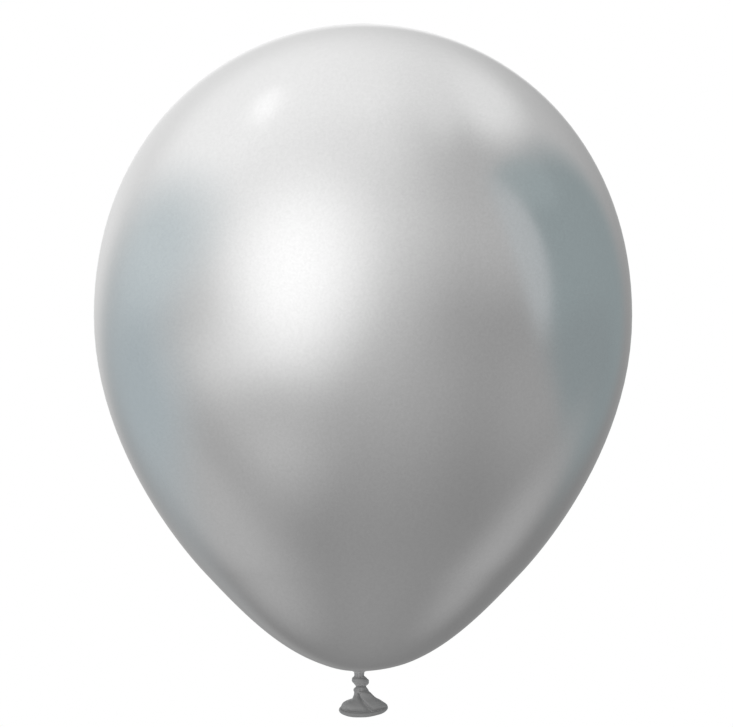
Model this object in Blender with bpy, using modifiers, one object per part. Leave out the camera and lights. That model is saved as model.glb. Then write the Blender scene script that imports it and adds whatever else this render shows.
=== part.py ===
"""A tied party balloon of silver chrome latex, blown up to its 30 cm size.

Units are metres, +Z is up and -Y is the front. The origin is the pinch between the knot and the
tail, where a ribbon is tied, on the axis of the blown-up envelope.

The real balloon is one moulded skin. Its regions are separate solids here, top to bottom: the
thin envelope, the gathered neck, the knot, the collar of film under the pinch, the flared tail
and the rolled mouth bead.
"""

import math

import bmesh
import bpy
from mathutils import Vector
from mathutils.geometry import interpolate_bezier

MM = 0.001
TURN = 2.0 * math.pi

# Blown-up envelope: a teardrop turned about Z
ENVELOPE_RADIUS = 150.0 * MM
CROWN_HEIGHT = 369.4 * MM
EQUATOR_HEIGHT = 206.7 * MM
FLANK = Vector((88.6, 0.0, 63.9)) * MM
FLANK_SLOPE = math.radians(46.6)
BASE = Vector((5.2, 0.0, 8.7)) * MM
BASE_SLOPE = math.radians(4.5)

# Lengths of the handles that shape the teardrop between those points
CROWN_REACH = 77.4 * MM
EQUATOR_RISE = 99.7 * MM
EQUATOR_DROP = 74.7 * MM
FLANK_ABOVE = 12.0 * MM
FLANK_BELOW = 32.5 * MM
BASE_REACH = 34.6 * MM

# Film of the envelope and the tube where its neck starts, which sits left of the envelope's axis
FILM = 0.4 * MM
NECK_RADIUS = 2.8 * MM
NECK_TOP = 7.5 * MM
NECK_OFFSET = -2.1 * MM
OFFSET_FADES_AT = 26.0 * MM

# Gathered film: soft lobes round each section of the stem
LOBES = 5
LOBE_DEPTH = 0.035
GAP = 0.3 * MM

# Stem sections: height, centre x and radius in mm, slant of the section, twist in degrees
NECK_SECTIONS = (
    (7.2, -2.1, 2.80, 0.00, 0.0),
    (6.6, -2.15, 2.75, 0.00, 10.0),
    (6.0, -2.15, 2.80, 0.05, 20.0),
)
KNOT_SECTIONS = (
    (5.7, -2.1, 2.90, 0.05, 25.0),
    (5.3, -2.0, 3.55, 0.08, 45.0),
    (4.6, -1.9, 4.30, 0.12, 75.0),
    (3.8, -1.7, 4.68, 0.15, 105.0),
    (2.9, -1.5, 4.75, 0.16, 140.0),
    (2.0, -1.2, 4.50, 0.13, 175.0),
    (1.1, -1.0, 3.75, 0.07, 205.0),
    (0.4, -1.1, 3.00, 0.00, 235.0),
)
COLLAR_SECTIONS = (
    (0.1, -1.1, 2.95, 0.00, 245.0),
    (-0.5, -1.2, 3.45, 0.04, 255.0),
    (-1.2, -1.2, 4.00, 0.06, 270.0),
    (-1.9, -1.1, 4.20, 0.06, 285.0),
    (-2.5, -0.9, 4.25, 0.03, 300.0),
    (-3.0, -0.7, 4.30, 0.00, 310.0),
)

# Mouth: an oval bead in a plane that dips towards the front and the left
BEAD_RADIUS = 1.25 * MM
MOUTH_CENTRE = Vector((0.2, 0.0, -12.4)) * MM
MOUTH_HALF_WIDTH = 12.5 * MM
MOUTH_HALF_DEPTH = 6.6 * MM
DIP_FRONT = 0.44
DIP_LEFT = 0.05

# Tail sections: height at the axis, left x, right x and half depth in mm, share of the mouth's dip
TAIL_FILM = 0.6 * MM
TAIL_SECTIONS = (
    (-3.3, -5.0, 3.8, 4.3, 0.00),
    (-4.5, -5.2, 5.3, 4.3, 0.05),
    (-5.5, -5.6, 6.7, 4.5, 0.15),
    (-6.2, -6.4, 7.9, 4.8, 0.28),
    (-6.8, -7.8, 9.1, 5.2, 0.40),
    (-7.5, -9.5, 10.3, 5.6, 0.53),
    (-8.4, -11.0, 11.6, 6.1, 0.67),
    (-9.5, -12.0, 12.7, 6.5, 0.82),
    (-10.5, -12.6, 13.1, 6.8, 1.00),
)

# Pleats spiral down the tail: azimuth at the collar and at the mouth in degrees, depth in mm,
# half width in degrees. They start and are deepest at these shares of the way down
PLEATS_START = 0.1
PLEATS_DEEPEST = 0.4
PLEATS = (
    (232.0, 278.0, 1.20, 15.0),
    (300.0, 335.0, 0.50, 18.0),
    (12.0, 48.0, 0.80, 20.0),
    (86.0, 118.0, 1.00, 17.0),
    (150.0, 196.0, 0.70, 20.0),
)

# Segments round each piece
ENVELOPE_STEPS = 64
STEM_STEPS = 32
TAIL_STEPS = 60
BEAD_RESOLUTION = 2


def start_collection(name):
    """Empties the scene and returns a new collection for the balloon."""
    for old in list(bpy.data.objects):
        bpy.data.objects.remove(old, do_unlink=True)
    collection = bpy.data.collections.new(name)
    bpy.context.scene.collection.children.link(collection)
    return collection


def latex(name, colour, roughness, metallic):
    """A material for one region of the latex."""
    material = bpy.data.materials.new(name)
    material.use_nodes = True
    shader = material.node_tree.nodes["Principled BSDF"]
    shader.inputs["Base Color"].default_value = (*colour, 1.0)
    shader.inputs["Roughness"].default_value = roughness
    shader.inputs["Metallic"].default_value = metallic
    return material


def add_piece(collection, name, data, material):
    """Puts one mesh or curve into the collection as a named object."""
    piece = bpy.data.objects.new(name, data)
    data.materials.append(material)
    collection.objects.link(piece)
    return piece


def smooth_mesh(bm, name):
    """Ends a bmesh as a smooth-shaded mesh that keeps its sharp ends."""
    mesh = bpy.data.meshes.new(name)
    bm.to_mesh(mesh)
    bm.free()
    mesh.shade_smooth()
    mesh.set_sharp_from_angle(angle=math.radians(40))
    return mesh


def face_outwards(bm):
    """Points the faces of an open skin away from the Z axis, so Solidify thickens it inwards."""
    bmesh.ops.recalc_face_normals(bm, faces=bm.faces)
    outward = sum(face.normal.xy.dot(face.calc_center_median().xy) for face in bm.faces)
    if outward < 0:
        bmesh.ops.reverse_faces(bm, faces=bm.faces)


def add_film(piece, thickness):
    """Gives an open skin its thickness inwards."""
    film = piece.modifiers.new("film", "SOLIDIFY")
    film.thickness = thickness
    film.offset = -1.0
    film.use_even_offset = True


def smooth_step(value):
    """0 to 1 with level ends."""
    value = min(1.0, max(0.0, value))
    return value * value * (3.0 - 2.0 * value)


def downwards(slope):
    """The direction down and in towards the axis at this slope from level."""
    return Vector((-math.cos(slope), 0.0, -math.sin(slope)))


def teardrop_profile():
    """The envelope's outline from the crown, over the fillet, to the top of the neck."""
    crown = Vector((0.0, 0.0, CROWN_HEIGHT))
    crown_handle = crown + Vector((CROWN_REACH, 0.0, 0.0))
    equator = Vector((ENVELOPE_RADIUS, 0.0, EQUATOR_HEIGHT))
    above_equator = equator + Vector((0.0, 0.0, EQUATOR_RISE))
    below_equator = equator - Vector((0.0, 0.0, EQUATOR_DROP))
    above_flank = FLANK - FLANK_ABOVE * downwards(FLANK_SLOPE)
    below_flank = FLANK + FLANK_BELOW * downwards(FLANK_SLOPE)
    before_base = BASE - BASE_REACH * downwards(BASE_SLOPE)
    neck = Vector((NECK_RADIUS, 0.0, NECK_TOP))
    fillet_corner = Vector((NECK_RADIUS, 0.0, BASE.z))
    spans = (
        (crown, crown_handle, above_equator, equator, 14),
        (equator, below_equator, above_flank, FLANK, 9),
        (FLANK, below_flank, before_base, BASE, 12),
        (BASE, BASE.lerp(fillet_corner, 0.6), neck.lerp(fillet_corner, 0.6), neck, 5),
    )
    points = []
    for start, start_handle, end_handle, end, count in spans:
        points += interpolate_bezier(start, start_handle, end_handle, end, count)[:-1]
    return points + [neck]


def sideways(radius):
    """How far the film at this radius is drawn towards the neck, which sits off the axis."""
    share = (radius - NECK_RADIUS) / (OFFSET_FADES_AT - NECK_RADIUS)
    return NECK_OFFSET * (1.0 - smooth_step(share))


def make_envelope(collection, material):
    """The teardrop skin, spun from its outline and open at the neck."""
    bm = bmesh.new()
    verts = [bm.verts.new(point) for point in teardrop_profile()]
    edges = [bm.edges.new(pair) for pair in zip(verts, verts[1:])]
    bmesh.ops.spin(
        bm, geom=verts + edges, cent=(0, 0, 0), axis=(0, 0, 1),
        angle=TURN, steps=ENVELOPE_STEPS, use_merge=True,
    )
    bmesh.ops.remove_doubles(bm, verts=bm.verts, dist=0.01 * MM)
    face_outwards(bm)
    for vert in bm.verts:
        if vert.co.z < FLANK.z:
            vert.co.x += sideways(vert.co.xy.length)
    envelope = add_piece(collection, "envelope", smooth_mesh(bm, "envelope"), material)
    add_film(envelope, FILM)


def bridge_rings(rings):
    """A bmesh skin through closed rings of points, and its first and last loops of edges."""
    bm = bmesh.new()
    loops = []
    for ring in rings:
        verts = [bm.verts.new(point) for point in ring]
        loops.append([bm.edges.new(pair) for pair in zip(verts, verts[1:] + verts[:1])])
    for upper, lower in zip(loops, loops[1:]):
        bmesh.ops.bridge_loops(bm, edges=upper + lower)
    return bm, (loops[0], loops[-1])


def stem_ring(height, centre_x, radius, slant, twist):
    """One section of the stem: a circle pressed into lobes, slanted and turned by twist."""
    ring = []
    for step in range(STEM_STEPS):
        angle = TURN * step / STEM_STEPS
        reach = radius * (1.0 + LOBE_DEPTH * math.cos(LOBES * angle - math.radians(twist)))
        x = reach * math.cos(angle)
        ring.append(Vector((centre_x + x, reach * math.sin(angle), height - slant * x)))
    return ring


def make_stem_piece(collection, name, sections, material):
    """A solid of gathered film through its sections, capped at both ends."""
    rings = [stem_ring(z * MM, x * MM, r * MM, slant, twist) for z, x, r, slant, twist in sections]
    bm, ends = bridge_rings(rings)
    for loop in ends:
        bmesh.ops.contextual_create(bm, geom=loop)
    bmesh.ops.recalc_face_normals(bm, faces=bm.faces)
    add_piece(collection, name, smooth_mesh(bm, name), material)


def pleat_depth(angle, down):
    """How deep the pleats press in at this azimuth, this share of the way down the tail."""
    depth = 0.0
    for at_collar, at_mouth, deepest, half_width in PLEATS:
        centre = at_collar + (at_mouth - at_collar) * down
        away = (math.degrees(angle) - centre + 180.0) % 360.0 - 180.0
        depth += deepest * MM * math.exp(-((away / half_width) ** 2))
    rise = smooth_step((down - PLEATS_START) / (PLEATS_DEEPEST - PLEATS_START))
    fall = smooth_step((down - PLEATS_DEEPEST) / (1.0 - PLEATS_DEEPEST))
    return depth * rise * (1.0 - fall)


def tail_ring(height, left, right, half_depth, dip):
    """One section of the tail, an oval with its own left and right reach, pressed in by the pleats."""
    centre_x = (left + right) / 2.0
    half_width = (right - left) / 2.0
    top, bottom = TAIL_SECTIONS[0][0] * MM, TAIL_SECTIONS[-1][0] * MM
    down = (height - top) / (bottom - top)
    ring = []
    for step in range(TAIL_STEPS):
        angle = TURN * step / TAIL_STEPS
        pleat = pleat_depth(angle, down)
        x = centre_x + (half_width - pleat) * math.cos(angle)
        y = (half_depth - pleat) * math.sin(angle)
        ring.append(Vector((x, y, height + dip * (DIP_FRONT * y + DIP_LEFT * x))))
    return ring


def make_tail(collection, material):
    """The flared tail, an open skirt of film from the collar to just above the bead."""
    rings = [
        tail_ring(z * MM, left * MM, right * MM, depth * MM, dip)
        for z, left, right, depth, dip in TAIL_SECTIONS
    ]
    bm, _ = bridge_rings(rings)
    face_outwards(bm)
    tail = add_piece(collection, "tail", smooth_mesh(bm, "tail"), material)
    add_film(tail, TAIL_FILM)


def make_bead(collection, material):
    """The rolled bead that rings the mouth, a closed tube along its oval."""
    curve = bpy.data.curves.new("mouth_bead", "CURVE")
    curve.dimensions = "3D"
    curve.bevel_depth = BEAD_RADIUS
    curve.bevel_resolution = BEAD_RESOLUTION
    spline = curve.splines.new("POLY")
    spline.points.add(TAIL_STEPS - 1)
    for step, point in enumerate(spline.points):
        x = MOUTH_HALF_WIDTH * math.cos(TURN * step / TAIL_STEPS)
        y = MOUTH_HALF_DEPTH * math.sin(TURN * step / TAIL_STEPS)
        rim = MOUTH_CENTRE + Vector((x, y, DIP_FRONT * y + DIP_LEFT * x))
        point.co = (*rim, 1.0)
    spline.use_cyclic_u = True
    add_piece(collection, "mouth_bead", curve, material)


def main():
    balloon = start_collection("chrome_balloon")
    chrome = latex("chrome_film", (0.62, 0.63, 0.64), 0.22, 1.0)
    gathered = latex("gathered_film", (0.30, 0.30, 0.30), 0.45, 0.8)
    rolled = latex("rolled_bead", (0.24, 0.24, 0.24), 0.5, 0.7)
    make_envelope(balloon, chrome)
    make_stem_piece(balloon, "neck", NECK_SECTIONS, gathered)
    make_stem_piece(balloon, "knot", KNOT_SECTIONS, gathered)
    make_stem_piece(balloon, "collar", COLLAR_SECTIONS, gathered)
    make_tail(balloon, gathered)
    make_bead(balloon, rolled)


main()
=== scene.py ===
# %% [markdown]
# # A chrome party balloon
# The object is one latex balloon, blown up to its 30 cm size and tied, with no ribbon. It is a
# single moulded skin, but its regions look and work differently: a taut mirror-like envelope, a
# gathered neck, a knot, and a slack tail that ends in the rolled bead of the mouth. Each region
# becomes a piece of its own here, or two for the knot, and stands for the plain solid of that
# region.
#
# The frame holds those solids at their real size. Nothing in it is moved: every piece below is
# built in its place, in metres, with +Z up and the viewer of the picture on the -Y side.

# %% Load the frame
import math

import bmesh
import bpy
from mathutils import Matrix, Vector
from mathutils.geometry import interpolate_bezier


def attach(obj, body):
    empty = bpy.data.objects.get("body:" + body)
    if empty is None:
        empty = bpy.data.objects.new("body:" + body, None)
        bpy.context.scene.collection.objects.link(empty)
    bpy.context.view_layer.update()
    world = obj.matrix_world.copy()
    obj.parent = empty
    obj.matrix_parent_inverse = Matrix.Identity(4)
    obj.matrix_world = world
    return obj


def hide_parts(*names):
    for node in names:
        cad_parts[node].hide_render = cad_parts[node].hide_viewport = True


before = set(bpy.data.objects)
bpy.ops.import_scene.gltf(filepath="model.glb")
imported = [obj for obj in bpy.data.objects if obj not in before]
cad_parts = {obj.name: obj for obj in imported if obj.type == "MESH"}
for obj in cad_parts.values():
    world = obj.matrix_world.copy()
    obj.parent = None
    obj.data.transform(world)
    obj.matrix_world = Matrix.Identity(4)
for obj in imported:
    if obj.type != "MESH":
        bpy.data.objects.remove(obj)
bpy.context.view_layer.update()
print("solids:", ", ".join(sorted(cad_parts)))

# %% [markdown]
# ## The camera first
# The picture is a plain front view from the height of the envelope's middle, with almost no
# perspective. A long lens a few metres away gives that. One pixel of the picture is a known length
# on the balloon, so the frame's width fixes the distance, and the balloon's place in the frame
# fixes where the camera looks.

# %% Camera
MM = 0.001
TURN = 2.0 * math.pi

FRAME_WIDTH, FRAME_HEIGHT = 733, 727
PIXEL = 0.55741 * MM
PINCH_COLUMN, PINCH_ROW = 363.0, 686.5
LENS = 400.0
SENSOR = 36.0

camera = bpy.data.objects.new("camera", bpy.data.cameras.new("camera"))
bpy.context.scene.collection.objects.link(camera)
camera.data.lens = LENS
camera.data.sensor_width = SENSOR
camera.location = (
    (FRAME_WIDTH / 2 - PINCH_COLUMN) * PIXEL,
    -LENS / SENSOR * FRAME_WIDTH * PIXEL,
    (PINCH_ROW - FRAME_HEIGHT / 2) * PIXEL,
)
camera.rotation_euler = (math.radians(90), 0, 0)
bpy.context.scene.camera = camera
bpy.context.scene.view_settings.view_transform = "Standard"
print(f"camera {-camera.location.y:.3f} m in front, {camera.location.z:.3f} m up")

# %% [markdown]
# ## Small helpers
# Colours are written as the hex values one would pick from a screen, and the shader wants linear
# light, so one function turns one into the other. A second adds a node with its settings and
# links. The third turns a finished bmesh into a piece: smooth shading, its material, its place on
# the one rigid body, and the plain solid, which it hides. The picture shows no tail in the
# underside of the envelope, so the slack pieces are left out of what the film mirrors.

# %% Helpers
MIX_A, MIX_B, MIX_RESULT = 6, 7, 2  # the colour sockets of a Mix node, by number


def linear(code):
    """A hex colour as linear red, green, blue and alpha."""
    channels = [int(code[i : i + 2], 16) / 255 for i in (1, 3, 5)]
    return [c / 12.92 if c <= 0.04045 else ((c + 0.055) / 1.055) ** 2.4 for c in channels] + [1.0]


def add_node(tree, kind, inputs=None, **settings):
    """Adds a node. An input is a plain value, or the socket that is linked to it."""
    node = tree.nodes.new(kind)
    for name, value in settings.items():
        setattr(node, name, value)
    for name, value in (inputs or {}).items():
        if isinstance(value, bpy.types.NodeSocket):
            tree.links.new(value, node.inputs[name])
        else:
            node.inputs[name].default_value = value
    return node


def smooth_step(value):
    """0 to 1 with level ends."""
    value = min(1.0, max(0.0, value))
    return value * value * (3.0 - 2.0 * value)


def make_piece(bm, name, material, slot, stands_for, wall=0.0, levels=0):
    """Ends a bmesh as a piece. The wall of film is thickened inwards, and then subdivided."""
    mesh = bpy.data.meshes.new(name)
    bm.to_mesh(mesh)
    bm.free()
    mesh.materials.append(material)
    mesh.shade_smooth()
    piece = bpy.data.objects.new(name, mesh)
    bpy.context.scene.collection.objects.link(piece)
    if wall:
        film = piece.modifiers.new("film", "SOLIDIFY")
        film.thickness = wall
        film.offset = -1.0
    if levels:
        smooth = piece.modifiers.new("smooth", "SUBSURF")
        smooth.levels = smooth.render_levels = levels
    piece.visible_glossy = slot == "chrome_film"
    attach(piece, "root")
    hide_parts(stands_for)
    print(f"{name}: {len(mesh.vertices)} points, {len(mesh.polygons)} faces")


# %% [markdown]
# ## Chrome latex
# This balloon is natural latex, dipped, with so much flat metallic pigment in it that the
# stretched film works as a soft mirror. There are three ways to get there. A plain grey gloss
# would show white highlights on grey and no picture of the room. A pure metal with no texture
# would look like a steel ball. So the shader is metallic, with the roughness that blurs the edges
# of what it mirrors by a few degrees, and the small faults that give latex away: pigment flakes
# that sparkle a little, clouds where the dipped film is thicker, and a duller skin where it is
# least stretched, at the crown and towards the neck. The crown has a darker spot. Towards the
# neck the colour is paler, which is painted light that lifts the shade where the film turns in.

# %% Chrome film: its values
FILM_LOOK = "#D2D2D2"
CROWN_LOOK = "#B4B4B4"
# painted light: the film turns paler near the neck to lift the shade in the fillet
NECK_PAINTED_LIGHT = "#EEEEEE"
EDGE_TINT = "#ECECEC"  # the latex over the pigment keeps the edge from turning white
FILM_ROUGHNESS = 0.165
SLACK_ROUGHNESS = 0.34
FLAKE = 0.9 * MM  # drawn far coarser than the real pigment, which is finer than a pixel
FLAKE_CONTRAST = 0.03
CLOUD = 45.0 * MM
CLOUD_THIN, CLOUD_THICK = 0.3, 0.7
CLOUD_GLOSS = 0.02
CROWN = Vector((0.0, 0.0, 369.4)) * MM
CROWN_SPOT, CROWN_SHARE = 16.0 * MM, 0.5
NECK_SHADE, NECK_SHADE_FULL = 13.0 * MM, 7.0 * MM
print(f"film {FILM_LOOK}, {CROWN_LOOK} at the crown, {NECK_PAINTED_LIGHT} at the neck")

# %% Chrome film: where it is slack
chrome = bpy.data.materials.new("chrome_latex_film")
chrome.use_nodes = True
tree = chrome.node_tree
shader = tree.nodes["Principled BSDF"]
shader.inputs["Metallic"].default_value = 1.0
shader.inputs["Specular Tint"].default_value = linear(EDGE_TINT)
place = add_node(tree, "ShaderNodeTexCoord").outputs["Object"]

from_crown = add_node(tree, "ShaderNodeVectorMath", {0: place, 1: CROWN}, operation="DISTANCE")
from_pinch = add_node(tree, "ShaderNodeVectorMath", {0: place}, operation="LENGTH")
crown_spot = add_node(
    tree,
    "ShaderNodeMapRange",
    {
        "Value": from_crown.outputs["Value"],
        "From Min": CROWN_SPOT,
        "From Max": CROWN_SPOT / 2,
        "To Max": CROWN_SHARE,
    },
    interpolation_type="SMOOTHSTEP",
)
neck_shade = add_node(
    tree,
    "ShaderNodeMapRange",
    {
        "Value": from_pinch.outputs["Value"],
        "From Min": NECK_SHADE,
        "From Max": NECK_SHADE_FULL,
    },
    interpolation_type="SMOOTHSTEP",
)
slack = add_node(
    tree,
    "ShaderNodeMath",
    {0: crown_spot.outputs["Result"], 1: neck_shade.outputs["Result"]},
    operation="MAXIMUM",
).outputs["Value"]
print(f"slack within {CROWN_SPOT / MM:.0f} mm of the crown, {NECK_SHADE / MM:.0f} mm of the pinch")

# %% Chrome film: its colour
above = add_node(
    tree,
    "ShaderNodeMix",
    {"Factor": crown_spot.outputs["Result"], MIX_A: linear(FILM_LOOK), MIX_B: linear(CROWN_LOOK)},
    data_type="RGBA",
).outputs[MIX_RESULT]
# painted light: the colour is mixed paler towards the neck, over the shade of the fillet
stretched = add_node(
    tree,
    "ShaderNodeMix",
    {"Factor": neck_shade.outputs["Result"], MIX_A: above, MIX_B: linear(NECK_PAINTED_LIGHT)},
    data_type="RGBA",
)
flakes = add_node(tree, "ShaderNodeTexVoronoi", {"Vector": place, "Scale": 1 / FLAKE})
flake_tone = add_node(
    tree,
    "ShaderNodeMapRange",
    {
        "Value": flakes.outputs["Color"],
        "To Min": 1.0 - FLAKE_CONTRAST,
        "To Max": 1.0 + FLAKE_CONTRAST,
    },
)
pigment = add_node(
    tree,
    "ShaderNodeMix",
    {"Factor": 1.0, MIX_A: stretched.outputs[MIX_RESULT], MIX_B: flake_tone.outputs["Result"]},
    data_type="RGBA",
    blend_type="MULTIPLY",
)
tree.links.new(pigment.outputs[MIX_RESULT], shader.inputs["Base Color"])
print(f"flakes of {FLAKE / MM:.1f} mm")

# %% Chrome film: its gloss
clouds = add_node(tree, "ShaderNodeTexNoise", {"Vector": place, "Scale": 1 / CLOUD, "Detail": 3.0})
film_gloss = add_node(
    tree,
    "ShaderNodeMapRange",
    {"Value": slack, "To Min": FILM_ROUGHNESS, "To Max": SLACK_ROUGHNESS},
)
cloud_gloss = add_node(
    tree,
    "ShaderNodeMapRange",
    {
        "Value": clouds.outputs["Fac"],
        "From Min": CLOUD_THIN,
        "From Max": CLOUD_THICK,
        "To Min": -CLOUD_GLOSS,
        "To Max": CLOUD_GLOSS,
    },
)
gloss = add_node(
    tree,
    "ShaderNodeMath",
    {0: film_gloss.outputs["Result"], 1: cloud_gloss.outputs["Result"]},
    operation="ADD",
)
tree.links.new(gloss.outputs["Value"], shader.inputs["Roughness"])
print("roughness", FILM_ROUGHNESS, "taut and", SLACK_ROUGHNESS, "slack")

# %% [markdown]
# ## The envelope
# Pressure makes the shape: round over the top, where the film is free, and drawn out to a point
# where it runs into the neck. Its outline is four Bezier curves, each ended by a point and a slope
# that can be named, and `spin` turns the outline into the skin. The plain solid has nearly the
# same outline with 64 sides. This skin has three times as many, so that the mirror stays clean.
# The film bunches up where the neck gathers it, so the last stretch runs out into radial folds.
# They are the flutes of the neck, which is why one function gives the folds of both pieces.

# %% Envelope sizes
ENVELOPE_RADIUS = 150.0 * MM
EQUATOR = Vector((ENVELOPE_RADIUS, 0.0, 206.7 * MM))
FLANK = Vector((88.6, 0.0, 63.9)) * MM
FLANK_SLOPE = math.radians(46.6)
BASE = Vector((5.2, 0.0, 8.7)) * MM
BASE_SLOPE = math.radians(4.5)
CROWN_REACH = 78.4 * MM
EQUATOR_RISE, EQUATOR_DROP = 100.0 * MM, 74.7 * MM
FLANK_ABOVE, FLANK_BELOW = 12.0 * MM, 32.5 * MM
BASE_REACH = 34.6 * MM
FILLET_ROUND = 0.6
NECK_RADIUS = 2.8 * MM
NECK_TOP = 7.5 * MM
NECK_OFFSET = -2.1 * MM
OFFSET_FADES_AT = 26.0 * MM
FILM = 0.4 * MM
ENVELOPE_STEPS = 192
MERGE = 0.01 * MM
FLUTES = 11
FLUTE_DEPTH = 0.26 * MM
FOLDS_FADE_AT = 9.5 * MM
UNEVEN_BY_TWO, UNEVEN_BY_THREE = 0.22, 0.10
print(f"envelope {2 * ENVELOPE_RADIUS / MM:.0f} mm across, widest {EQUATOR.z / MM:.1f} mm up")


# %% Envelope outline and folds
def creased(angle, lobes, phase=0.0):
    """0 on top of each lobe and 1 at the bottom of the sharp valleys between uneven lobes."""
    uneven = angle + UNEVEN_BY_TWO * math.sin(2.0 * angle + 1.3 + phase)
    uneven += UNEVEN_BY_THREE * math.sin(3.0 * angle)
    return 1.0 - math.sqrt(abs(math.cos(0.5 * lobes * uneven + phase)))


def downwards(slope):
    """The direction down and in towards the axis at this slope from level."""
    return Vector((-math.cos(slope), 0.0, -math.sin(slope)))


def teardrop_profile():
    """The envelope's outline from the crown to the top of the neck."""
    neck = Vector((NECK_RADIUS, 0.0, NECK_TOP))
    fillet_corner = Vector((NECK_RADIUS, 0.0, BASE.z))
    crown_handle = CROWN + Vector((CROWN_REACH, 0.0, 0.0))
    above_equator = EQUATOR + Vector((0.0, 0.0, EQUATOR_RISE))
    below_equator = EQUATOR - Vector((0.0, 0.0, EQUATOR_DROP))
    above_flank = FLANK - FLANK_ABOVE * downwards(FLANK_SLOPE)
    below_flank = FLANK + FLANK_BELOW * downwards(FLANK_SLOPE)
    before_base = BASE - BASE_REACH * downwards(BASE_SLOPE)
    spans = (  # the start and its handle, the end's handle and the end, the number of points
        (CROWN, crown_handle, above_equator, EQUATOR, 36),
        (EQUATOR, below_equator, above_flank, FLANK, 24),
        (FLANK, below_flank, before_base, BASE, 34),
        (
            BASE,
            BASE.lerp(fillet_corner, FILLET_ROUND),
            neck.lerp(fillet_corner, FILLET_ROUND),
            neck,
            9,
        ),
    )
    points = []
    for start, start_handle, end_handle, end, count in spans:
        points += interpolate_bezier(start, start_handle, end_handle, end, count)[:-1]
    return points + [neck]


print(len(teardrop_profile()), "points in the outline")

# %% Envelope skin
bm = bmesh.new()
outline = [bm.verts.new(point) for point in teardrop_profile()]
edges = [bm.edges.new(pair) for pair in zip(outline, outline[1:])]
bmesh.ops.spin(
    bm,
    geom=outline + edges,
    cent=(0, 0, 0),
    axis=(0, 0, 1),
    angle=TURN,
    steps=ENVELOPE_STEPS,
    use_merge=True,
)
bmesh.ops.remove_doubles(bm, verts=bm.verts, dist=MERGE)
bmesh.ops.recalc_face_normals(bm, faces=bm.faces)
top_face = max(bm.faces, key=lambda face: face.calc_center_median().z)
if top_face.normal.z < 0:
    bmesh.ops.reverse_faces(bm, faces=bm.faces)
bm.normal_update()
for vert in bm.verts:
    if vert.co.z < FLANK.z:
        radius, azimuth = vert.co.xy.length, math.atan2(vert.co.y, vert.co.x)
        folds = 1.0 - smooth_step((radius - NECK_RADIUS) / (FOLDS_FADE_AT - NECK_RADIUS))
        drawn = 1.0 - smooth_step((radius - NECK_RADIUS) / (OFFSET_FADES_AT - NECK_RADIUS))
        vert.co -= vert.normal * FLUTE_DEPTH * folds**2 * creased(azimuth, FLUTES)
        vert.co.x += NECK_OFFSET * drawn
make_piece(bm, "envelope_film", chrome, "chrome_film", "envelope", wall=FILM)

# %% [markdown]
# ## Slack latex
# Below the envelope the latex isn't stretched. The same pigment is packed closer there and lies
# every way, so the film is a dull pewter grey instead of a mirror, with fine lines along the pull
# wherever it is gathered. A painted streak texture would need a UV layout for each piece. Noise in
# object space that is drawn out along one axis gives the same lines on any shape, with no seam.
# The powder on the latex gives a little sheen. The pieces are one latex in lit and shaded
# copies, as painted light and shade: palest in the gathered film above the pinch, darkest in the
# bead.

# %% Slack latex
SLACK_SHEEN = 0.15
# the gathered film's tones, the lightest; the other pieces get darker copies as painted shade
SLACK_LIGHT, SLACK_DARK = "#A0A0A0", "#929292"
STREAK_WIDTH, STREAK_LENGTH, STREAK_DEPTH = 0.5 * MM, 6.0 * MM, 0.12 * MM
STREAK_STRENGTH = 0.35
GRAIN, GRAIN_DEPTH = 0.25 * MM, 0.03 * MM
GRAIN_STRENGTH = 0.25
GRAIN_GLOSS = 0.05
print("slack latex", SLACK_DARK, "to", SLACK_LIGHT)


def slack_latex(name, along, metallic, roughness, light=SLACK_LIGHT, dark=SLACK_DARK):
    """A dull film with fine lines along one axis: x, y or z as 0, 1 or 2. None gives no lines."""
    material = bpy.data.materials.new(name)
    material.use_nodes = True
    tree = material.node_tree
    shader = tree.nodes["Principled BSDF"]
    shader.inputs["Metallic"].default_value = metallic
    shader.inputs["Sheen Weight"].default_value = SLACK_SHEEN
    place = add_node(tree, "ShaderNodeTexCoord").outputs["Object"]
    scale = [1 / STREAK_WIDTH] * 3
    if along is not None:
        scale[along] = 1 / STREAK_LENGTH
    stretch = add_node(tree, "ShaderNodeMapping", {"Vector": place, "Scale": scale})
    streaks = add_node(
        tree,
        "ShaderNodeTexNoise",
        {"Vector": stretch.outputs["Vector"], "Scale": 1.0, "Detail": 2.0},
    )
    grain = add_node(
        tree, "ShaderNodeTexNoise", {"Vector": place, "Scale": 1 / GRAIN, "Detail": 2.0}
    )
    tone = add_node(
        tree,
        "ShaderNodeMix",
        {"Factor": streaks.outputs["Fac"], MIX_A: linear(dark), MIX_B: linear(light)},
        data_type="RGBA",
    )
    tree.links.new(tone.outputs[MIX_RESULT], shader.inputs["Base Color"])
    gloss = add_node(
        tree,
        "ShaderNodeMapRange",
        {
            "Value": grain.outputs["Fac"],
            "To Min": roughness - GRAIN_GLOSS,
            "To Max": roughness + GRAIN_GLOSS,
        },
    )
    tree.links.new(gloss.outputs["Result"], shader.inputs["Roughness"])
    lines = add_node(
        tree,
        "ShaderNodeBump",
        {
            "Height": streaks.outputs["Fac"],
            "Strength": STREAK_STRENGTH,
            "Distance": STREAK_DEPTH,
        },
    )
    skin = add_node(
        tree,
        "ShaderNodeBump",
        {
            "Height": grain.outputs["Fac"],
            "Normal": lines.outputs["Normal"],
            "Strength": GRAIN_STRENGTH,
            "Distance": GRAIN_DEPTH,
        },
    )
    tree.links.new(skin.outputs["Normal"], shader.inputs["Normal"])
    return material


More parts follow.
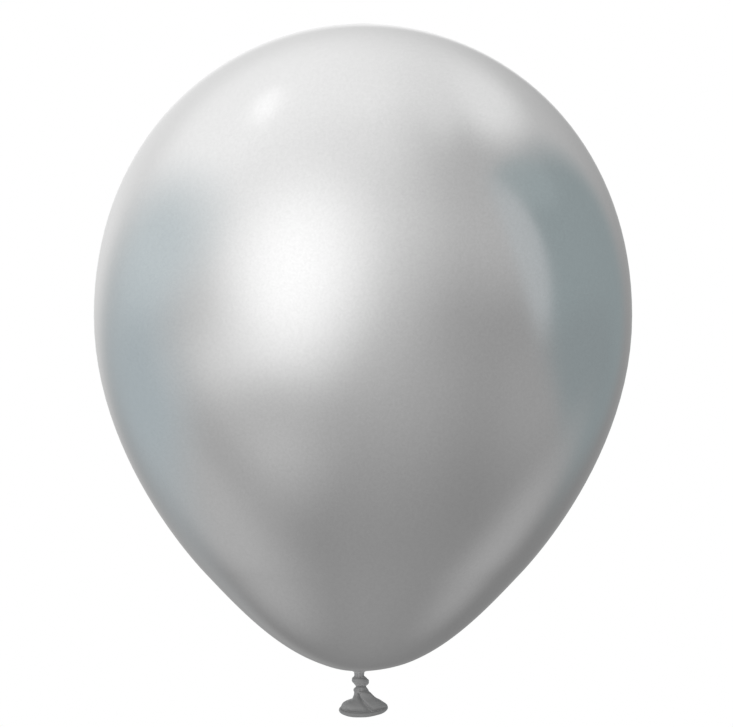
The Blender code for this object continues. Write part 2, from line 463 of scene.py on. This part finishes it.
# %% Slack latex: neck, knot, tail and bead
# painted light and shade: one latex in four tones, lightest gathered, then wrap, tail, bead darkest
gathered = slack_latex("gathered_slack_latex", along=2, metallic=0.2, roughness=0.55)
wrapped = slack_latex("wrapped_slack_latex", 0, 0.2, 0.55, light="#969696", dark="#888888")
hanging = slack_latex("hanging_slack_latex", 2, 0.2, 0.6, light="#909090", dark="#828282")
rolled = slack_latex("rolled_slack_latex", None, 0.2, 0.6, light="#888888", dark="#7A7A7A")
print("finishes:", ", ".join(made.name for made in (gathered, wrapped, hanging, rolled)))

# %% [markdown]
# ## A tube to shape
# The neck, knot, collar, tail and bead are all tubes of film, more or less crumpled. Each starts
# as the same unit tube: an open cone with equal ends, cut into rings by `subdivide_edges`. A
# function of the ring and of the angle round it then lays every point in its place. That keeps the
# operators few and the shapes in plain formulas.


# %% Tube helper
def shape_tube(steps, rings, place_point, capped=False):
    """A tube with these steps round and rings along, placed by place_point(along, angle)."""
    bm = bmesh.new()
    bmesh.ops.create_cone(
        bm, cap_ends=capped, cap_tris=False, segments=steps, radius1=1.0, radius2=1.0, depth=2.0
    )
    sides = [edge for edge in bm.edges if abs(edge.verts[0].co.z - edge.verts[1].co.z) > 1.0]
    bmesh.ops.subdivide_edges(bm, edges=sides, cuts=rings - 2, use_grid_fill=True)
    for vert in bm.verts:
        along = (1.0 - vert.co.z) / 2.0
        vert.co = place_point(along, math.atan2(vert.co.y, vert.co.x))
    bmesh.ops.recalc_face_normals(bm, faces=bm.faces)
    return bm


# %% [markdown]
# ## The neck
# The film of the balloon's stem is squeezed by the knot into flutes: round lobes with sharp
# valleys. A plain cosine would look like a gear, so the lobes are rounded, uneven, and creased
# where they meet. This piece lies just outside the end of the envelope's film. Its top edge ends
# inside the fillet and its lower end inside the knot, and the flutes run on from one to the next,
# so that no seam shows.

# %% Neck
STEM_STEPS = 132
SLACK_FILM = 0.3 * MM
NECK_ROWS = (  # height, centre x and radius in mm, share of the flutes' depth
    (8.5, -2.1, 3.05, 0.8),
    (8.2, -2.1, 3.05, 0.9),
    (7.9, -2.1, 2.93, 0.9),
    (7.6, -2.1, 2.86, 1.0),
    (7.3, -2.1, 2.83, 1.0),
    (7.0, -2.1, 2.80, 1.1),
    (6.6, -2.1, 2.76, 1.3),
    (6.2, -2.1, 2.74, 1.5),
    (5.8, -2.1, 2.82, 1.7),
    (5.4, -2.1, 2.95, 1.8),
    (4.9, -2.1, 2.80, 1.8),
)


def place_neck(along, angle):
    height, centre_x, radius, flutes = NECK_ROWS[round(along * (len(NECK_ROWS) - 1))]
    reach = radius * MM - flutes * FLUTE_DEPTH * creased(angle, FLUTES)
    return Vector((centre_x * MM + reach * math.cos(angle), reach * math.sin(angle), height * MM))


bm = shape_tube(STEM_STEPS, len(NECK_ROWS), place_neck)
make_piece(bm, "neck_film", gathered, "gathered_film", "neck", wall=SLACK_FILM, levels=1)

# %% [markdown]
# ## The knot
# The neck is wound once round itself and tucked through, which leaves a lump about 10 mm across.
# A ball would do from far off. Here it is two pieces, as the hand makes it: the gathered core that
# runs straight down, and the turn of film that wraps it. The turn starts high at the back, comes
# round the left side, crosses the front slanting down to the right, and goes under itself on the
# left. Its film is folded lengthwise, so its section has the same creased lobes, which twist as it
# runs. The core is closed at its ends, since a knot lets nothing through.

# %% Knot core
CORE_LOBE_DEPTH = 0.36 * MM
CORE_ROWS = (  # height, centre x, half width and half depth in mm, twist of the lobes in radians
    (6.2, -2.15, 2.60, 2.60, 0.0),
    (5.9, -2.15, 2.98, 2.72, 0.0),
    (5.4, -1.94, 3.47, 2.88, 0.1),
    (4.8, -1.66, 3.86, 3.05, 0.3),
    (3.9, -1.44, 4.32, 3.35, 0.6),
    (2.9, -1.22, 4.45, 3.60, 1.0),
    (2.0, -1.10, 4.20, 3.45, 1.4),
    (1.2, -1.05, 3.78, 2.75, 1.7),
    (0.6, -1.08, 3.15, 2.35, 1.9),
    (0.1, -1.10, 2.90, 2.25, 2.0),
    (-0.3, -1.10, 2.60, 2.10, 2.0),
)


def place_core(along, angle):
    row = CORE_ROWS[round(along * (len(CORE_ROWS) - 1))]
    height, centre_x, half_width, half_depth, twist = row
    lobe = CORE_LOBE_DEPTH * creased(angle, FLUTES, twist)
    x = centre_x * MM + (half_width * MM - lobe) * math.cos(angle)
    return Vector((x, (half_depth * MM - lobe) * math.sin(angle), height * MM))


bm = shape_tube(STEM_STEPS, len(CORE_ROWS), place_core, capped=True)
make_piece(bm, "knot_core", gathered, "gathered_film", "knot", levels=1)

# %% Knot wrap
WRAP_RINGS = 96
WRAP_STEPS = 48
WRAP_CENTRE_X = -1.50 * MM
WRAP_START, WRAP_TURNS = math.radians(75), 1.42
WRAP_HIGH, WRAP_LOW = 4.25 * MM, 1.40 * MM
WRAP_RADIUS, WRAP_TUCK = 3.75 * MM, 2.3 * MM
WRAP_HEAD, WRAP_END = 0.20, 0.28
WRAP_HALF_WIDTH, WRAP_HALF_HEIGHT = 1.10 * MM, 1.70 * MM
WRAP_FLATNESS = 0.83
WRAP_SHRINK = 0.5  # how much smaller the folded film is at the tucked ends
WRAP_LOBES, WRAP_LOBE_DEPTH, WRAP_TWIST = 6, 0.12, 2.2
WRAP_UNEVEN = 0.06


def place_wrap(along, angle):
    azimuth = WRAP_START + WRAP_TURNS * TURN * along
    tucked = 1.0 - min(smooth_step(along / WRAP_HEAD), smooth_step((1.0 - along) / WRAP_END))
    outward = Vector((math.cos(azimuth), WRAP_FLATNESS * math.sin(azimuth), 0.0))
    height = WRAP_HIGH + (WRAP_LOW - WRAP_HIGH) * along
    size = 1.0 - WRAP_SHRINK * tucked
    size *= 1.0 - WRAP_LOBE_DEPTH * creased(angle, WRAP_LOBES, WRAP_TWIST * along)
    size *= 1.0 + WRAP_UNEVEN * math.sin(3.0 * azimuth + 0.7)
    reach = WRAP_RADIUS - WRAP_TUCK * tucked + WRAP_HALF_WIDTH * size * math.cos(angle)
    height += WRAP_HALF_HEIGHT * size * math.sin(angle)
    return Vector((WRAP_CENTRE_X, 0.0, height)) + reach * outward


bm = shape_tube(WRAP_STEPS, WRAP_RINGS, place_wrap, capped=True)
make_piece(bm, "knot_wrap", wrapped, "gathered_film", "knot", levels=1)

# %% [markdown]
# ## The collar
# Right under the pinch the film springs out again and sags over itself in a soft fold, fuller on
# the left. It is a short skirt whose lower edge turns back under and ends behind the tail's film,
# which leaves the crease that shows in the picture.

# %% Collar
COLLAR_LOBES, COLLAR_LOBE_DEPTH = 8, 0.45 * MM
COLLAR_TURN, COLLAR_TWIST = 1.2, 0.8
COLLAR_SAG = 0.4
COLLAR_ROWS = (  # height, centre x, half width and half depth in mm, share of the lobes, rise
    (0.9, -1.10, 2.30, 2.10, 0.9, 0.00),
    (0.5, -1.10, 2.55, 2.40, 1.0, 0.00),
    (0.1, -1.14, 2.88, 2.80, 1.0, 0.00),
    (-0.3, -1.22, 3.25, 3.25, 1.0, 0.00),
    (-0.8, -1.34, 3.75, 3.45, 1.0, 0.00),
    (-1.3, -1.36, 4.10, 3.35, 0.9, 0.02),
    (-1.8, -1.30, 4.26, 3.40, 0.8, 0.05),
    (-2.3, -1.10, 4.22, 3.55, 0.6, 0.08),
    (-2.8, -0.88, 4.12, 3.62, 0.4, 0.11),
    (-3.3, -0.68, 3.98, 3.55, 0.2, 0.13),
    (-3.7, -0.55, 3.70, 3.40, 0.0, 0.13),
)


def place_collar(along, angle):
    row = COLLAR_ROWS[round(along * (len(COLLAR_ROWS) - 1))]
    height, centre_x, half_width, half_depth, lobes, rise = row
    twist = COLLAR_TURN + COLLAR_TWIST * along
    lobe = lobes * COLLAR_LOBE_DEPTH * creased(angle, COLLAR_LOBES, twist)
    x = (half_width * MM - lobe) * math.cos(angle)
    lift = rise * (x + COLLAR_SAG * half_width * MM * math.sin(2.0 * angle + 0.5))
    y = (half_depth * MM - lobe) * math.sin(angle)
    return Vector((centre_x * MM + x, y, height * MM + lift))


bm = shape_tube(STEM_STEPS, len(COLLAR_ROWS), place_collar)
make_piece(bm, "collar_fold", hanging, "gathered_film", "collar", wall=SLACK_FILM, levels=1)

# %% [markdown]
# ## The tail
# Below the collar hangs the slack mouth of the balloon, squashed flat from front to back and a
# little longer on the right. Rows of sizes give its outline, and a smooth curve through them keeps
# kinks out of the film, since each would catch the light. Just above the mouth the film is tucked
# in, where it bulges over the bead.
#
# The pleats spiral down from the pinch and open out. They decide the look, so each is a fold with
# its place at the top and at the bottom. The deepest runs down the front: the film comes to it
# gently from the left and rises steeply on the right, where one fold laps over the other. The one
# with a depth below zero is a rib that stands out. Inside, the film draws in to a small hole under
# the closed knot.

# %% Tail sizes and pleats
TAIL_STEPS, TAIL_RINGS = 288, 64
MOUTH_HALF_WIDTH, MOUTH_HALF_DEPTH = 12.35 * MM, 6.6 * MM
DIP_FRONT, DIP_LEFT = 0.44, 0.05
FRONT_SAG = 0.25 * MM
TUCK_SPREAD = 1.4
# Each row: height at the axis, left x, right x and half depth in mm, share of the dip, tuck in mm
TAIL_ROWS = (
    (-1.2, -1.5, 0.3, 0.9, 0.00, 0.0),
    (-1.8, -3.5, 2.1, 2.6, 0.00, 0.0),
    (-2.4, -4.6, 3.1, 3.6, 0.00, 0.0),
    (-3.0, -4.9, 3.95, 4.05, 0.00, 0.0),
    (-3.6, -5.0, 4.75, 4.25, 0.00, 0.0),
    (-4.2, -5.05, 5.35, 4.35, 0.02, 0.0),
    (-4.9, -5.3, 6.0, 4.45, 0.06, 0.0),
    (-5.6, -5.7, 6.7, 4.6, 0.12, 0.0),
    (-6.2, -6.0, 7.3, 4.8, 0.20, 0.0),
    (-6.8, -6.2, 8.1, 5.2, 0.31, 0.0),
    (-7.5, -8.4, 9.25, 5.7, 0.46, 0.0),
    (-8.4, -10.75, 10.3, 6.3, 0.63, 0.05),
    (-9.3, -11.85, 11.3, 6.9, 0.82, 0.2),
    (-9.9, -12.2, 12.1, 7.05, 0.93, 0.55),
    (-10.4, -12.4, 12.85, 7.1, 1.00, 0.95),
    (-10.8, -12.6, 13.4, 7.1, 1.00, 1.25),
    (-11.1, -12.75, 13.6, 7.1, 1.00, 1.40),
    (-11.4, -12.85, 13.5, 7.2, 1.00, 1.40),
    (-11.8, -12.9, 13.4, 7.3, 1.00, 1.2),
    (-12.1, -12.9, 13.2, 7.2, 1.00, 0.9),
)
PLEATS = (  # azimuth at the top and at the mouth, depth in mm, half width to the left and right
    (237.0, 291.0, 2.1, 15.0, 5.0),
    (224.0, 263.0, 0.9, 18.0, 14.0),
    (322.0, 345.0, -0.45, 20.0, 16.0),
    (12.0, 48.0, 1.10, 18.0, 9.0),
    (60.0, 84.0, 0.60, 10.0, 12.0),
    (100.0, 126.0, 1.30, 16.0, 8.0),
    (150.0, 188.0, 0.70, 12.0, 18.0),
)
# Shares of the way down: where the pleats begin, are full, fade and end, and where they turn
PLEATS_START, PLEATS_FULL, PLEATS_FADE, PLEATS_END = 0.10, 0.32, 0.76, 1.00
TURN_START, TURN_END = 0.25, 0.80
print("tail of", len(TAIL_ROWS), "rows and", len(PLEATS), "pleats")


# %% Tail helpers
def blend_rows(rows, along):
    """The values of a smooth curve that is drawn through the rows, as a cubic B-spline."""
    at = along * (len(rows) - 1)
    first = min(int(at), len(rows) - 2)
    t = at - first
    near = [rows[min(max(first + step, 0), len(rows) - 1)] for step in (-1, 0, 1, 2)]
    shares = ((1 - t) ** 3, 3 * t**3 - 6 * t**2 + 4, 3 * t * (1 + t - t**2) + 1, t**3)
    return [sum(share * value for share, value in zip(shares, column)) / 6 for column in zip(*near)]


def mouth_dip(angle):
    """How far the rim lies above the middle of the mouth: up at the back, down at the front."""
    lean = DIP_FRONT * MOUTH_HALF_DEPTH * math.sin(angle)
    lean += DIP_LEFT * MOUTH_HALF_WIDTH * math.cos(angle)
    return lean - FRONT_SAG * smooth_step(-math.sin(angle))


def pleat_depth(angle, down):
    """How deep the pleats press in at this azimuth, this share of the way down the tail."""
    depth = 0.0
    turned = smooth_step((down - TURN_START) / (TURN_END - TURN_START))
    for at_top, at_mouth, deepest, left_width, right_width in PLEATS:
        middle = at_top + (at_mouth - at_top) * turned
        away = (math.degrees(angle) - middle + 180.0) % 360.0 - 180.0
        width = right_width if away > 0 else left_width
        depth += deepest * MM * math.exp(-((away / width) ** 2))
    rise = smooth_step((down - PLEATS_START) / (PLEATS_FULL - PLEATS_START))
    fall = smooth_step((down - PLEATS_FADE) / (PLEATS_END - PLEATS_FADE))
    return depth * rise * (1.0 - fall)


# %% Tail
def place_tail(along, angle):
    height, left, right, half_depth, dip, tuck = blend_rows(TAIL_ROWS, along)
    down = (height - TAIL_ROWS[0][0]) / (TAIL_ROWS[-1][0] - TAIL_ROWS[0][0])
    pleat = pleat_depth(angle, down)
    pleat += tuck * MM * smooth_step(TUCK_SPREAD * abs(math.sin(angle)))
    x = (left + right) / 2 * MM + ((right - left) / 2 * MM - pleat) * math.cos(angle)
    y = (half_depth * MM - pleat) * math.sin(angle)
    return Vector((x, y, height * MM + dip * mouth_dip(angle)))


bm = shape_tube(TAIL_STEPS, TAIL_RINGS, place_tail)
make_piece(bm, "tail_film", hanging, "gathered_film", "tail", wall=SLACK_FILM)

# %% [markdown]
# ## The bead
# The maker rolls the mouth of the film up on itself before it cures, so the tail ends in a thick
# ring that can be gripped. A circle spun once round the axis makes the ring, and each point is
# then moved out to the oval of the mouth, which dips to the front. The end of the roll leaves a
# small groove inside, and the ring is never quite even.

# %% Mouth bead
BEAD_RADIUS = 1.35 * MM
BEAD_STEPS, BEAD_SIDES = 120, 24
MOUTH_CENTRE = Vector((0.2, 0.0, -12.4)) * MM
GROOVE_DEPTH, GROOVE_AT, GROOVE_WIDTH = 0.14, math.radians(140), math.radians(16)
BEAD_SWELL, BEAD_LUMPS = 0.05, 0.03

bm = bmesh.new()
ring = bmesh.ops.create_circle(bm, segments=BEAD_SIDES, radius=BEAD_RADIUS)
bmesh.ops.rotate(bm, verts=ring["verts"], matrix=Matrix.Rotation(math.radians(90), 3, "X"))
bmesh.ops.translate(bm, verts=ring["verts"], vec=(MOUTH_HALF_WIDTH, 0, 0))
bmesh.ops.spin(
    bm,
    geom=bm.verts[:] + bm.edges[:],
    cent=(0, 0, 0),
    axis=(0, 0, 1),
    angle=TURN,
    steps=BEAD_STEPS,
    use_merge=True,
)
for vert in bm.verts:
    azimuth = math.atan2(vert.co.y, vert.co.x)
    out, up = vert.co.xy.length - MOUTH_HALF_WIDTH, vert.co.z
    turned = (math.atan2(up, out) - GROOVE_AT + math.pi) % TURN - math.pi
    size = 1.0 - GROOVE_DEPTH * math.exp(-((turned / GROOVE_WIDTH) ** 2))
    swell = BEAD_SWELL * math.sin(3.0 * azimuth + 0.6)
    size *= 1.0 + swell + BEAD_LUMPS * math.sin(8.0 * azimuth)
    across = Vector((math.cos(azimuth) / MOUTH_HALF_WIDTH, math.sin(azimuth) / MOUTH_HALF_DEPTH, 0))
    x = MOUTH_HALF_WIDTH * math.cos(azimuth)
    y = MOUTH_HALF_DEPTH * math.sin(azimuth)
    rim = MOUTH_CENTRE + Vector((x, y, mouth_dip(azimuth)))
    vert.co = rim + size * (out * across.normalized() + Vector((0, 0, up)))
bmesh.ops.recalc_face_normals(bm, faces=bm.faces)
make_piece(bm, "rolled_bead", rolled, "rolled_bead", "mouth_bead", levels=1)

# %% [markdown]
# ## The studio
# A chrome balloon is a picture of its room, so the light is most of the likeness. Lamps and cards
# stood around the balloon would do it, but they come into view as soon as the camera goes round.
# The world shader can hold them instead: each light or card is a soft-edged patch of sky at a
# direction given in degrees, painted over the ones before it. The camera itself sees plain white.
#
# A patch is a ball on the unit sphere. The Mapping node moves its centre to the middle of the
# patch, turns it upright and stretches it to its half width and height, so the distance that is
# left is 0 in the middle and 1 at the edge. The same trick as a soft brush.

# %% Studio: the room and its lights
GRADIENT = (  # elevation in degrees and the look of the room there
    (-90, "#909090"),
    (-60, "#888888"),
    (-30, "#818181"),
    (-15, "#838383"),
    (0, "#919191"),
    (15, "#A8A8A8"),
    (30, "#BABABA"),
    (45, "#C6C6C6"),
    (60, "#D6D6D6"),
    (90, "#E2E2E2"),
)
PATCHES = (  # name, azimuth, elevation, roll, half width and height in degrees, core, look, cover
    ("left side of the room", -120, 50, 0, 100, 58, 0.2, "#ECECEC", 1.0),
    ("wall behind on the left", -158, 14, 0, 34, 33, 0.1, "#DFDFDF", 1.0),
    ("doorway behind", -178, 8, 0, 12, 15, 0.4, "#E8E8E8", 1.0),
    ("front fill", 0, -24, 0, 130, 60, 0.0, "#A7A7A7", 1.0),
    ("low wall behind", -160, -20, 0, 28, 18, 0.0, "#A4A4A4", 0.7),
    ("low wall on the left", -115, -35, 26, 34, 50, 0.25, "#ACACAC", 1.0),
    ("low wall on the right", 86, -20, 0, 52, 32, 0.2, "#979797", 1.0),
    ("dim right wall", 81, 40, 0, 70, 46, 0.1, "#ABABAB", 1.0),
    ("wide glow round the key", -28, 20, 0, 92, 68, 0.0, "#E4E4E4", 0.95),
    ("left flag", -107, 10, 28, 54, 29, 0.2, "#BCC4C7", 1.0),
    ("left flag's foot", -116, -14, 0, 54, 26, 0.2, "#A6AFB3", 1.0),
    ("bounce under the key", -58, -14, 0, 54, 34, 0.0, "#D2D2D2", 1.0),
    ("ceiling on the right", 130, 50, -20, 34, 16, 0.25, "#DEDEDE", 0.9),
    ("ceiling", 112, 68, 0, 30, 12, 0.2, "#DADADA", 0.6),
    ("right flag", 114, 7, -33, 46, 32, 0.65, "#8B9597", 1.0),
    ("corner of the right flag", 94, 34, -16, 22, 10, 0.5, "#949EA0", 0.9),
    ("right flag's foot", 114, -9, 0, 36, 16, 0.4, "#868E90", 0.9),
    ("strip beside the right flag", 79, 17, 10, 11, 29, 0.5, "#AEB2B4", 0.9),
    ("key softbox", -31, 14, -3, 44, 54, 0.05, "#FEFEFE", 1.0),
    ("small top light", -112, 60, 0, 14, 7, 0.2, "#FFFFFF", 1.0),
    ("low light in front", -50, -41, 0, 40, 28, 0.0, "#B4B4B4", 1.0),
    ("low light on the right", 125, -39, 0, 22, 30, 0.1, "#A0A0A0", 1.0),
)
WHITE = "#FFFFFF"
FILM_MIRRORS = linear(FILM_LOOK)[1]  # the share of light that the film gives back
print(len(PATCHES), "lights and cards in the studio")

# %% Studio: the bare room
world = bpy.data.worlds.new("studio")
bpy.context.scene.world = world
world.use_nodes = True
tree = world.node_tree
background = tree.nodes["Background"]
direction = add_node(tree, "ShaderNodeTexCoord").outputs["Generated"]
upward = add_node(tree, "ShaderNodeSeparateXYZ", {0: direction})
elevation = add_node(tree, "ShaderNodeMath", {0: upward.outputs["Z"]}, operation="ARCSINE")
height = add_node(
    tree,
    "ShaderNodeMapRange",
    {"Value": elevation.outputs["Value"], "From Min": -math.pi / 2, "From Max": math.pi / 2},
)
room = add_node(tree, "ShaderNodeValToRGB", {"Fac": height.outputs["Result"]})
ramp = room.color_ramp
while len(ramp.elements) < len(GRADIENT):
    ramp.elements.new(1.0)
for element, (degrees, look) in zip(ramp.elements, GRADIENT):
    element.position = (degrees + 90) / 180
    element.color = linear(look)
painted = room.outputs["Color"]
print(len(ramp.elements), "steps from the floor to the ceiling")

# %% Studio: the patches
for name, azimuth, lift, roll, half_width, half_height, core, look, cover in PATCHES:
    azimuth, lift, roll = (math.radians(value) for value in (azimuth, lift, roll))
    level = math.cos(lift)
    middle = Vector((level * math.sin(azimuth), -level * math.cos(azimuth), math.sin(lift)))
    right = Vector((math.cos(azimuth), math.sin(azimuth), 0.0))
    upright = Matrix((middle, right, middle.cross(right))).transposed()
    turn = upright @ Matrix.Rotation(roll, 3, "X")
    patch = add_node(
        tree,
        "ShaderNodeMapping",
        {
            "Vector": direction,
            "Location": middle,
            "Rotation": turn.to_euler(),
            "Scale": (
                1.0,
                2.0 * math.sin(math.radians(half_width / 2)),
                2.0 * math.sin(math.radians(half_height / 2)),
            ),
        },
        vector_type="TEXTURE",
        label=name,
    )
    distance = add_node(tree, "ShaderNodeVectorMath", {0: patch.outputs[0]}, operation="LENGTH")
    brush = add_node(
        tree,
        "ShaderNodeMapRange",
        {"Value": distance.outputs["Value"], "From Min": 1.0, "From Max": core, "To Max": cover},
        interpolation_type="SMOOTHSTEP",
    )
    layer = add_node(
        tree,
        "ShaderNodeMix",
        {"Factor": brush.outputs["Result"], MIX_A: painted, MIX_B: linear(look)},
        data_type="RGBA",
    )
    painted = layer.outputs[MIX_RESULT]
print("last patch painted:", name)

# %% Studio: what the camera sees
tree.links.new(painted, background.inputs["Color"])
background.inputs["Strength"].default_value = 1.0 / FILM_MIRRORS
backdrop = add_node(tree, "ShaderNodeBackground", {"Color": linear(WHITE), "Strength": 1.0})
seen = add_node(tree, "ShaderNodeLightPath")
shown = add_node(
    tree,
    "ShaderNodeMixShader",
    {0: seen.outputs["Is Camera Ray"], 1: background.outputs[0], 2: backdrop.outputs[0]},
)
tree.links.new(shown.outputs[0], tree.nodes["World Output"].inputs["Surface"])
print(f"the studio is {1.0 / FILM_MIRRORS:.2f} times as bright as its looks")

# %% [markdown]
# ## The floor
# The balloon hangs in the air, so the floor is far below and out of the picture. It is there for
# views from above, and it is clear from underneath, so that it hides nothing in views from there.
# It is left out of the mirror, where the studio already has a floor.

# %% Floor
FLOOR_DEPTH, FLOOR_RADIUS, FLOOR_SIDES = 1.5, 13.0, 96
FLOOR_LOOK, FLOOR_ROUGHNESS = "#F4F4F4", 0.9

paint = bpy.data.materials.new("pale_matt_paint")
paint.use_nodes = True
tree = paint.node_tree
shader = tree.nodes["Principled BSDF"]
shader.inputs["Base Color"].default_value = linear(FLOOR_LOOK)
shader.inputs["Roughness"].default_value = FLOOR_ROUGHNESS
face = add_node(tree, "ShaderNodeNewGeometry")
clear = add_node(tree, "ShaderNodeBsdfTransparent")
one_sided = add_node(
    tree,
    "ShaderNodeMixShader",
    {0: face.outputs["Backfacing"], 1: shader.outputs[0], 2: clear.outputs[0]},
)
tree.links.new(one_sided.outputs[0], tree.nodes["Material Output"].inputs["Surface"])

bm = bmesh.new()
bmesh.ops.create_circle(bm, cap_ends=True, segments=FLOOR_SIDES, radius=FLOOR_RADIUS)
bmesh.ops.translate(bm, verts=bm.verts, vec=(0, 0, -FLOOR_DEPTH))
mesh = bpy.data.meshes.new("floor")
bm.to_mesh(mesh)
bm.free()
mesh.materials.append(paint)
floor = bpy.data.objects.new("floor", mesh)
bpy.context.scene.collection.objects.link(floor)
floor.visible_glossy = False
print(f"floor {FLOOR_DEPTH} m below the pinch")
